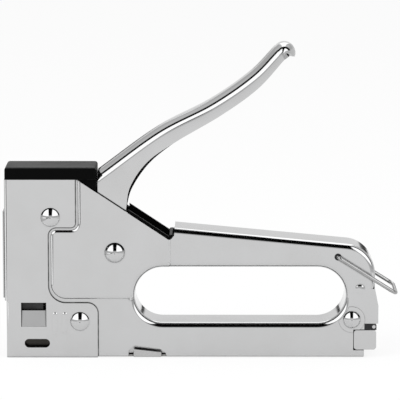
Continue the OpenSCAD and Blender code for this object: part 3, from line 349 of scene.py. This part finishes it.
# darker than the plated nickel: painted shade, the base colour lowered to the dim grey the thin wire shows
shadedBailWire = metalMaterial("shadedBailWire", {
    "color": (0.4, 0.4, 0.4), "markColor": (0.33, 0.33, 0.33), "rough": 0.13, "markRough": 0.08,
    "markScale": 120.0, "marks": 0.8, "grainScale": 1500.0, "stretch": 0.3, "grain": 0.15,
    "shadeReach": 0.6, "paintedShade": 0.8, "paintedShadeColor": (0.02, 0.02, 0.02),
    "wear": 0.2, "wearColor": (0.5, 0.5, 0.5),
})
darkSteel = metalMaterial("blackenedSteel", {
    "color": (0.03, 0.03, 0.032), "markColor": (0.055, 0.055, 0.055), "rough": 0.3, "markRough": 0.15,
    "markScale": 90.0, "marks": 0.8, "grainScale": 1200.0, "stretch": 0.2, "grain": 0.2,
    "shadeReach": 1.0, "paintedShade": 0.7, "paintedShadeColor": (0.01, 0.01, 0.01),
    "wear": 0.8, "wearColor": (0.3, 0.3, 0.3),
})
blackPlastic = plasticMaterial("blackMoulding", {
    "color": (0.0012, 0.0012, 0.0013), "lightColor": (0.003, 0.003, 0.003), "specular": 0.03,
    "rough": 0.4, "markRough": 0.1, "cellScale": 2600.0, "grain": 0.2, "markScale": 50.0,
    "wear": 0.35, "wearColor": (0.05, 0.05, 0.05), "sheen": 0.8, "sheenColor": (0.05, 0.05, 0.05),
})
rubber = plasticMaterial("bufferRubber", {
    "color": (0.02, 0.02, 0.02), "lightColor": (0.03, 0.03, 0.03), "specular": 0.3,
    "rough": 0.7, "markRough": 0.1, "cellScale": 1800.0, "grain": 0.3, "markScale": 80.0,
    "wear": 0.3, "wearColor": (0.08, 0.08, 0.08), "sheen": 0.5, "sheenColor": (0.1, 0.095, 0.09),
})

slotMaterials = {
    "nickel": nickel, "steel": steel, "spring_steel": springSteel, "dark_steel": darkSteel,
    "black_plastic": blackPlastic, "bumper": rubber,
}
slotOf = {name: node.material_slots[0].material.name.split(".")[0] for name, node in nodes.items()}
# drive_frame and bail get darker colours as painted shade; magazine_channel gets painted shade inside the
# nose
ownMaterials = {"drive_frame": shadedInnerSteel, "magazine_channel": channelSteel, "bail": shadedBailWire}
for name, node in nodes.items():
    for slot in node.material_slots:
        slot.material = ownMaterials.get(name, slotMaterials[slot.material.name.split(".")[0]])
print("materials placed on", len(nodes), "nodes")


# Sheet pieces with softened edges
sheetLook = {"joined": 0.001, "flatWithin": 0.2, "cornerAngle": 38, "coverSide": 10.6, "coverFront": -74}


def smoothMesh(mesh, sharpAngle):
    if "custom_normal" in mesh.attributes:
        mesh.attributes.remove(mesh.attributes["custom_normal"])
    mesh.shade_smooth()
    mesh.set_sharp_from_angle(angle=math.radians(sharpAngle))


def addPiece(name, mesh, body, material, slotName, *replaced):
    piece = bpy.data.objects.new(name, mesh)
    scene.collection.objects.link(piece)
    mesh.materials.clear()
    mesh.materials.append(material)
    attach(piece, body)
    if replaced:
        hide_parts(*replaced)
    return piece


def softenEdges(piece, width, segments=2, byWeight=False):
    bevel = piece.modifiers.new("edgeRound", "BEVEL")
    bevel.width = width * mm
    bevel.segments = segments
    bevel.limit_method = "WEIGHT" if byWeight else "ANGLE"
    bevel.angle_limit = math.radians(sheetLook["cornerAngle"])
    bevel.use_clamp_overlap = True
    bevel.harden_normals = False
    evened = piece.modifiers.new("evenNormals", "WEIGHTED_NORMAL")
    evened.keep_sharp = True


# A copy of a node's sheet with its flat faces joined, so that its edges can be rounded
def refinedMesh(nodeName, pieceName, weightOf=None):
    mesh = nodes[nodeName].data.copy()
    mesh.name = pieceName
    if "custom_normal" in mesh.attributes:
        mesh.attributes.remove(mesh.attributes["custom_normal"])
    work = bmesh.new()
    work.from_mesh(mesh)
    bmesh.ops.remove_doubles(work, verts=work.verts, dist=sheetLook["joined"] * mm)
    flatWithin = math.radians(sheetLook["flatWithin"])
    bmesh.ops.dissolve_limit(
        work, angle_limit=flatWithin, use_dissolve_boundaries=False, verts=work.verts, edges=work.edges
    )
    bmesh.ops.recalc_face_normals(work, faces=work.faces)
    if weightOf:
        weights = work.edges.layers.float.new("bevel_weight_edge")
        for edge in work.edges:
            if len(edge.link_faces) == 2 and edge.calc_face_angle(0) > math.radians(sheetLook["cornerAngle"]):
                edge[weights] = weightOf((edge.verts[0].co + edge.verts[1].co) / 2 / mm)
    work.to_mesh(mesh)
    work.free()
    smoothMesh(mesh, sheetLook["cornerAngle"])
    return mesh


# The cover's outer edges are rounded fully, its inner ones less
def outerEdge(place):
    outside = abs(place.y) > sheetLook["coverSide"] and place.x > sheetLook["coverFront"]
    return 1.0 if outside else 0.3


def buildSheets():
    mesh = refinedMesh("head_cover", "coverSheet", outerEdge)
    cover = addPiece("coverSheet", mesh, "root", nickel, "nickel", "head_cover")
    softenEdges(cover, 0.5, 4, byWeight=True)
    for side in ("near", "far"):
        name = side + "Side"
        shell = addPiece(name, refinedMesh(side + "_shell", name), "root", nickel, "nickel", side + "_shell")
        softenEdges(shell, 0.18, 2)
    for nodeName, name, body, width in (
        ("front_plate", "frontSheet", "root", 0.2), ("latch_cap", "fingerCap", "magazine", 0.45),
    ):
        finish = nodes[nodeName].material_slots[0].material
        piece = addPiece(name, refinedMesh(nodeName, name), body, finish, slotOf[nodeName], nodeName)
        softenEdges(piece, width, 3)


# Dark rings laid just proud of the sides around the bail's holes: painted shade for the holes' dark insides
# where the wire leaves them
boreShadeLook = {"place": (56.4, 41.8), "outer": 1.45, "inner": 0.82, "proud": 0.02, "sideY": 10.4, "steps": 48}


def buildBoreShades():
    look = boreShadeLook
    for name, side in (("nearBoreShade", -1), ("farBoreShade", 1)):
        work = bmesh.new()
        rings = []
        for radius in (look["inner"], look["outer"]):
            rings.append([
                work.verts.new(Vector((
                    look["place"][0] + radius * math.cos(2 * math.pi * k / look["steps"]),
                    side * (look["sideY"] + look["proud"]),
                    look["place"][1] + radius * math.sin(2 * math.pi * k / look["steps"]),
                )) * mm)
                for k in range(look["steps"])
            ])
        for k in range(look["steps"]):
            after = (k + 1) % look["steps"]
            work.faces.new((rings[0][k], rings[1][k], rings[1][after], rings[0][after]))
        mesh = bpy.data.meshes.new(name)
        work.to_mesh(mesh)
        work.free()
        addPiece(name, mesh, "root", darkSteel, "dark_steel")


# Springs get round wire
springLooks = {
    "main_spring": {
        "name": "mainSpring", "body": "root", "joint": "ram_slide",
        "axis": (0, 0, 1), "fixedEnd": (-70.8, 0, 71.7), "keep": 0.45,
    },
    "pusher_spring": {
        "name": "pusherSpring", "body": "magazine", "joint": "pusher_slide",
        "axis": (1, 0, 0), "fixedEnd": (57.0, 0, 5.25), "keep": 0.38,
    },
}


def roundWire(piece):
    weld = piece.modifiers.new("joined", "WELD")
    weld.merge_threshold = sheetLook["joined"] * mm
    smooth = piece.modifiers.new("roundWire", "SUBSURF")
    smooth.levels = 1
    smooth.render_levels = 2


def buildSprings():
    for nodeName, look in springLooks.items():
        node = nodes[nodeName]
        finish = node.material_slots[0].material
        spring = addPiece(look["name"], node.data.copy(), look["body"], finish, slotOf[nodeName], nodeName)
        roundWire(spring)
        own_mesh(spring)


# The smaller steel pieces get softened edges
def finishNodes():
    roundWire(nodes["lever_spring"])
    for nodeName, width in (
        ("ram", 0.3), ("driver_blade", 0.1), ("magazine_core", 0.12), ("magazine_channel", 0.12),
        ("drive_frame", 0.12), ("pusher", 0.2), ("lift_toe", 0.25), ("buffer", 0.4), ("latch_catch", 0.15),
    ):
        weld = nodes[nodeName].modifiers.new("joined", "WELD")
        weld.merge_threshold = sheetLook["joined"] * mm
        softenEdges(nodes[nodeName], width, 2)


buildSheets()
buildBoreShades()
buildSprings()
finishNodes()
print("sheet pieces rounded, springs placed")


# The squeeze lever, a bent sheet swept along its back and belly; s counts stations from root to tip
leverShape = {
    "back": [(-42.0, 76.6), (-17.9, 94.1), (3.8, 105.5), (20.0, 116.8), (30.2, 127.3)],
    "belly": [
        (34.2, 122.6), (23.4, 110.7), (8.7, 100.0), (-9.6, 89.2), (-21.5, 80.8), (-28.6, 70.6), (-30.4, 61.2),
    ],
    "pivot": (-35.0, 43.6), "rootRadius": 7.0, "tip": (34.3, 124.8), "tipRadius": 4.5, "tipEnd": (2.0, -0.9),
    "tipTaper": 4.0, "tipTurn": 168, "halfWidth": 8.3, "sheet": 1.2, "bellyLead": 0.6,
    "tightRadius": 2.6, "wideRadius": 6.0, "turnAt": 40, "rollSteps": 14,
    "rootEnd": 10, "bellyStart": 11, "bellyEnd": 29, "tipSpan": 7, "tipFull": 7.4,
    "rootSteps": 21, "bellySteps": 72, "tipSteps": 21,
}


def alongCurve(points, t):
    points = [Vector(p) for p in points]
    last = len(points) - 1
    i = min(int(t * last), last - 1)
    k = t * last - i
    a, b = points[i], points[i + 1]
    ta = (b - points[max(i - 1, 0)]) / (1 if i == 0 else 2)
    tb = (points[min(i + 2, last)] - a) / (1 if i == last - 1 else 2)
    between = a * (1 + 2 * k) * (1 - k) ** 2 + b * k * k * (3 - 2 * k)
    return between + ta * k * (1 - k) ** 2 - tb * k * k * (1 - k)


def leverStation(s):
    look = leverShape
    pivot, tip = Vector(look["pivot"]), Vector(look["tip"])
    tipEnd = tip + Vector(look["tipEnd"])
    belly, half = look["belly"], look["halfWidth"]
    rootEnd, bellyStart, bellyEnd = look["rootEnd"], look["bellyStart"], look["bellyEnd"]
    # the root's stations crowd into the first twentieth of the back
    if s <= bellyEnd:
        back = alongCurve(look["back"], s / 200 if s <= rootEnd else (s - 9) / 20)
    else:
        first = Vector(look["back"][-1]) - tip
        turned = math.radians(look["tipTurn"] * (s - bellyEnd) / look["tipSpan"])
        angle = math.atan2(first.y, first.x) - turned
        back = tip + look["tipRadius"] * Vector((math.cos(angle), math.sin(angle)))
    if s <= rootEnd:
        angle = math.radians(180 + 18 * s)
        low = pivot + look["rootRadius"] * Vector((math.cos(angle), math.sin(angle)))
    elif s <= bellyStart:
        low = (pivot + Vector((look["rootRadius"], 0))).lerp(Vector(belly[-1]), s - rootEnd)
    elif s <= bellyEnd:
        low = alongCurve(belly, 1 - ((s - bellyStart) / (bellyEnd - bellyStart)) ** look["bellyLead"])
    else:
        low = Vector(belly[0]).lerp(tipEnd, (s - bellyEnd) / look["tipSpan"])
        half -= look["tipTaper"] * (1 - math.sqrt(1 - ((s - bellyEnd) / look["tipFull"]) ** 2))
    return back, low, half


# The lever's rolled edge: a tight bend off the side that eases into a crowned back
def rollProfile(inset):
    look = leverShape
    tight, wide = look["tightRadius"] - inset, look["wideRadius"] - inset
    turn = math.radians(look["turnAt"])
    points = []
    for k in range(look["rollSteps"] + 1):
        angle = math.pi / 2 * k / look["rollSteps"]
        low = min(angle, turn)
        up = tight * math.sin(low) + wide * (math.sin(angle) - math.sin(low))
        across = tight * (1 - math.cos(low)) + wide * (math.cos(low) - math.cos(angle))
        points.append((up, across))
    depth = points[-1][0]
    return [(depth - up, across) for up, across in points]


def buildLever():
    look = leverShape
    start, end, bellySteps = look["bellyStart"], look["bellyEnd"], look["bellySteps"]
    steps = [0.5 * i for i in range(look["rootSteps"])]
    steps += [start + (end - start) * (i / bellySteps) ** (1 / look["bellyLead"]) for i in range(bellySteps)]
    steps += [end + 0.35 * i for i in range(look["tipSteps"])]
    stations = [leverStation(s) for s in steps]
    sheet = look["sheet"]
    work = bmesh.new()
    rings = []
    for i, (back, low, half) in enumerate(stations):
        ahead = (stations[min(i + 1, len(stations) - 1)][0] - stations[max(i - 1, 0)][0]).normalized()
        inward = Vector((ahead.y, -ahead.x))
        if i == 0:
            inward = Vector((0, -1)) / -inward.y
        top = [(deep, half - across) for deep, across in rollProfile(0)]
        under = [(sheet + deep, half - sheet - across) for deep, across in rollProfile(sheet)]
        ring = [(low.x, half, low.y)]
        for deep, y in top + [(d, -w) for d, w in reversed(top)]:
            q = back + inward * deep
            ring.append((q.x, y, q.y))
        ring += [(low.x, -half, low.y), (low.x, sheet - half, low.y)]
        for deep, y in [(d, -w) for d, w in under] + list(reversed(under)):
            q = back + inward * deep
            ring.append((q.x, y, q.y))
        ring.append((low.x, half - sheet, low.y))
        rings.append([work.verts.new(Vector(p) * mm) for p in ring])
    count = len(rings[0])
    for a, b in zip(rings, rings[1:]):
        for k in range(count):
            after = (k + 1) % count
            work.faces.new((a[k], b[k], b[after], a[after]))
    for ring in (rings[0], rings[-1]):
        for k in range(count // 2 - 1):
            work.faces.new((ring[k], ring[k + 1], ring[count - 2 - k], ring[count - 1 - k]))
    bmesh.ops.remove_doubles(work, verts=work.verts, dist=0.002 * mm)
    bmesh.ops.recalc_face_normals(work, faces=work.faces)
    mesh = bpy.data.meshes.new("leverSheet")
    work.to_mesh(mesh)
    work.free()
    smoothMesh(mesh, 40)
    addPiece("leverSheet", mesh, "lever", nickel, "nickel", "lever")


buildLever()
print("lever built")


# Floor, mirrored studio and lamps; the ramps are pairs of place and level
studio = {
    "floorHalf": 6.0, "floorDrop": 0.0002, "floorColor": 0.9, "floorShown": 0.86, "floorMirrored": 0.7,
    "floorShade": [(0.0104, 0.3), (0.02, 0.66), (0.035, 0.84), (0.08, 1.0)],
    "gapWidth": 0.27, "overReach": 0.1, "ambient": 0.75, "nearFloor": 0.15,
    "gapLevels": [(0.0, 0.5), (0.02, 0.2), (0.045, 0.4), (0.13, 0.35), (0.18, 0.0)],
    "boxStart": [(0.06, 0.0), (0.12, 1.0)],
    "boxLevels": [(0.0, 0.0), (0.2, 0.0), (0.26, 1.0)],
    "gapBehind": [
        (0.0, 0.03), (0.014, 0.03), (0.03, 0.44), (0.13, 0.44), (0.16, 0.15), (0.19, 0.15), (0.22, 1.0),
    ],
    "midBehind": [(0.0, 0.44), (0.13, 0.44), (0.16, 0.15), (0.19, 0.15), (0.22, 1.0)],
    "boxBehind": [(0.0, 0.44), (0.13, 0.44), (0.2, 0.34), (0.4, 0.34), (0.5, 0.42)],
    "lowLeft": [(0.13, 0.5), (0.17, 0.0), (0.62, 0.0), (0.7, 0.95), (0.94, 0.95), (0.99, 0.4)],
    "lowRight": [(0.19, 0.5), (0.3, 0.4), (0.5, 0.42), (0.8, 0.6)],
    "lowBand": [(0.1, 0.0), (0.13, 1.0), (0.18, 1.0), (0.21, 0.0)],
    "midEdge": [(0.09, 0.0), (0.12, 1.0)], "gapSoft": 0.03, "boxFoot": 0.3, "lowPlain": 0.37, "mirrored": 1.9,
}


def buildFloor():
    half = studio["floorHalf"]
    mesh = bpy.data.meshes.new("floorSheet")
    corners = [(-half, -half, 0), (half, -half, 0), (half, half, 0), (-half, half, 0)]
    mesh.from_pydata([(x, y, -studio["floorDrop"]) for x, y, z in corners], [], [(0, 1, 2, 3)])
    floor = bpy.data.objects.new("floorSheet", mesh)
    scene.collection.objects.link(floor)
    material = bpy.data.materials.new("paleFloor")
    material.use_nodes = True
    tree = material.node_tree
    tree.nodes.clear()
    diffuse = tree.nodes.new("ShaderNodeBsdfDiffuse")
    diffuse.inputs["Color"].default_value = (studio["floorColor"],) * 3 + (1,)
    glow = tree.nodes.new("ShaderNodeEmission")
    glow.inputs["Color"].default_value = (1, 1, 1, 1)
    paths = tree.nodes.new("ShaderNodeLightPath")
    seen = mathNode(tree, "MULTIPLY", paths.outputs["Is Camera Ray"], studio["floorShown"])
    mirrored = mathNode(tree, "MAXIMUM", paths.outputs["Is Glossy Ray"], paths.outputs["Is Transmission Ray"])
    place = tree.nodes.new("ShaderNodeTexCoord").outputs["Object"]
    split = tree.nodes.new("ShaderNodeSeparateXYZ")
    tree.links.new(place, split.inputs[0])
    # close to the object the floor lies in its shade
    shade = rampNode(tree, mathNode(tree, "ABSOLUTE", split.outputs["Y"]), studio["floorShade"])
    shade = mathNode(tree, "MULTIPLY", shade, studio["floorMirrored"])
    mirrored = mathNode(tree, "MULTIPLY", mirrored, shade)
    mix = tree.nodes.new("ShaderNodeMixShader")
    tree.links.new(mathNode(tree, "MAXIMUM", seen, mirrored), mix.inputs["Fac"])
    tree.links.new(diffuse.outputs[0], mix.inputs[1])
    tree.links.new(glow.outputs[0], mix.inputs[2])
    # away from the object, mirrored rays pass the floor and meet the studio
    away = mathNode(tree, "GREATER_THAN", mathNode(tree, "ABSOLUTE", split.outputs["X"]), studio["nearFloor"])
    away = mathNode(tree, "MULTIPLY", away, paths.outputs["Is Glossy Ray"])
    clear = tree.nodes.new("ShaderNodeBsdfTransparent")
    cut = tree.nodes.new("ShaderNodeMixShader")
    tree.links.new(away, cut.inputs["Fac"])
    tree.links.new(mix.outputs[0], cut.inputs[1])
    tree.links.new(clear.outputs[0], cut.inputs[2])
    output = tree.nodes.new("ShaderNodeOutputMaterial")
    tree.links.new(cut.outputs[0], output.inputs["Surface"])
    mesh.materials.append(material)


def buildWorld():
    world = bpy.data.worlds.new("studioWorld")
    scene.world = world
    world.use_nodes = True
    tree = world.node_tree
    tree.nodes.clear()
    direction = tree.nodes.new("ShaderNodeTexCoord").outputs["Generated"]
    split = tree.nodes.new("ShaderNodeSeparateXYZ")
    tree.links.new(direction, split.inputs[0])
    x, y, z = split.outputs
    # height above the horizon, 0 level and 1 straight up
    height = mathNode(tree, "DIVIDE", mathNode(tree, "ARCSINE", z), math.pi / 2)
    gap = rampNode(tree, height, studio["gapLevels"])
    off = mathNode(tree, "ABSOLUTE", x)
    # the boxes stand in front: they end where the mirrored ray no longer comes forward
    boxes = rampNode(tree, mathNode(tree, "MULTIPLY", y, -1.0), studio["boxLevels"])
    boxes = mixNode(tree, rampNode(tree, height, studio["boxStart"]), (studio["boxFoot"],) * 3, boxes)
    pastMid = rampNode(tree, off, studio["midEdge"])
    midBehind = rampNode(tree, height, studio["midBehind"])
    gapBehind = mixNode(tree, pastMid, midBehind, rampNode(tree, height, studio["gapBehind"]))
    boxBehind = rampNode(tree, height, studio["boxBehind"])
    flat = mathNode(tree, "SQRT", mathNode(tree, "SUBTRACT", 1.0, mathNode(tree, "MULTIPLY", z, z)))
    aside = mathNode(tree, "DIVIDE", mathNode(tree, "ABSOLUTE", x), mathNode(tree, "MAXIMUM", flat, 0.001))
    gapWidth, gapSoft = studio["gapWidth"], studio["gapSoft"]
    pastGap = rampNode(tree, off, [(gapWidth - gapSoft, 0.0), (gapWidth + gapSoft, 1.0)])
    toLeft = mathNode(tree, "LESS_THAN", x, 0.0)
    low = mixNode(
        tree, toLeft, rampNode(tree, aside, studio["lowRight"]), rampNode(tree, aside, studio["lowLeft"])
    )
    # the sides of the studio show only in a band below the horizon
    under = rampNode(tree, mathNode(tree, "MULTIPLY", z, -1.0), studio["lowBand"])
    low = mixNode(tree, under, (studio["lowPlain"],) * 3, low)
    beyond = mathNode(tree, "SUBTRACT", y, studio["overReach"])
    rear = rampNode(tree, rampedRange(tree, beyond), [(0.49, 0.0), (0.51, 1.0)])
    over = rampNode(tree, rampedRange(tree, z), [(0.498, 0.0), (0.502, 1.0)])
    level = mixNode(tree, pastGap, gap, boxes)
    level = mixNode(tree, over, low, level)
    level = mixNode(tree, rear, level, mixNode(tree, pastGap, gapBehind, boxBehind))
    pattern = tree.nodes.new("ShaderNodeBackground")
    pattern.inputs["Strength"].default_value = studio["mirrored"]
    tree.links.new(level, pattern.inputs["Color"])
    ambient = tree.nodes.new("ShaderNodeBackground")
    ambient.inputs["Strength"].default_value = studio["ambient"]
    white = tree.nodes.new("ShaderNodeBackground")
    white.inputs["Strength"].default_value = 1.0
    for shader in (ambient, white):
        shader.inputs["Color"].default_value = (1, 1, 1, 1)
    paths = tree.nodes.new("ShaderNodeLightPath")
    first = tree.nodes.new("ShaderNodeMixShader")
    tree.links.new(paths.outputs["Is Glossy Ray"], first.inputs["Fac"])
    tree.links.new(ambient.outputs[0], first.inputs[1])
    tree.links.new(pattern.outputs[0], first.inputs[2])
    second = tree.nodes.new("ShaderNodeMixShader")
    tree.links.new(paths.outputs["Is Camera Ray"], second.inputs["Fac"])
    tree.links.new(first.outputs[0], second.inputs[1])
    tree.links.new(white.outputs[0], second.inputs[2])
    output = tree.nodes.new("ShaderNodeOutputWorld")
    tree.links.new(second.outputs[0], output.inputs["Surface"])


def buildLamps():
    for name, place, size, power in (
        ("softboxLeft", (-0.7, -0.8, 1.1), 0.9, 9.0), ("softboxRight", (0.8, -0.6, 1.0), 0.9, 6.0),
    ):
        data = bpy.data.lights.new(name, "AREA")
        data.shape = "SQUARE"
        data.size = size
        data.energy = power
        lamp = bpy.data.objects.new(name, data)
        lamp.location = place
        lamp.rotation_euler = (Vector((0, 0, 0.05)) - Vector(place)).to_track_quat("-Z", "Y").to_euler()
        lamp.visible_glossy = False
        scene.collection.objects.link(lamp)


buildFloor()
buildWorld()
buildLamps()
print("studio built")


# The photo's point of view
view = {
    "distance": 1.3, "elevation": 8.38, "azimuth": 0.23, "targetX": -0.00014, "targetZ": 0.06383,
    "focal": 3158.0, "photoWidth": 400, "sensorWidth": 36.0,
}


def buildCamera():
    e, a = math.radians(view["elevation"]), math.radians(view["azimuth"])
    forward = Vector((-math.sin(a) * math.cos(e), math.cos(a) * math.cos(e), -math.sin(e)))
    data = bpy.data.cameras.new("photoCamera")
    data.sensor_width = view["sensorWidth"]
    data.lens = view["focal"] / view["photoWidth"] * view["sensorWidth"]
    data.clip_start = 0.05
    data.clip_end = 50.0
    camera = bpy.data.objects.new("photoCamera", data)
    camera.location = Vector((view["targetX"], 0, view["targetZ"])) - forward * view["distance"]
    camera.rotation_euler = forward.to_track_quat("-Z", "Y").to_euler()
    scene.collection.objects.link(camera)
    scene.camera = camera


buildCamera()
scene.view_settings.view_transform = "Standard"
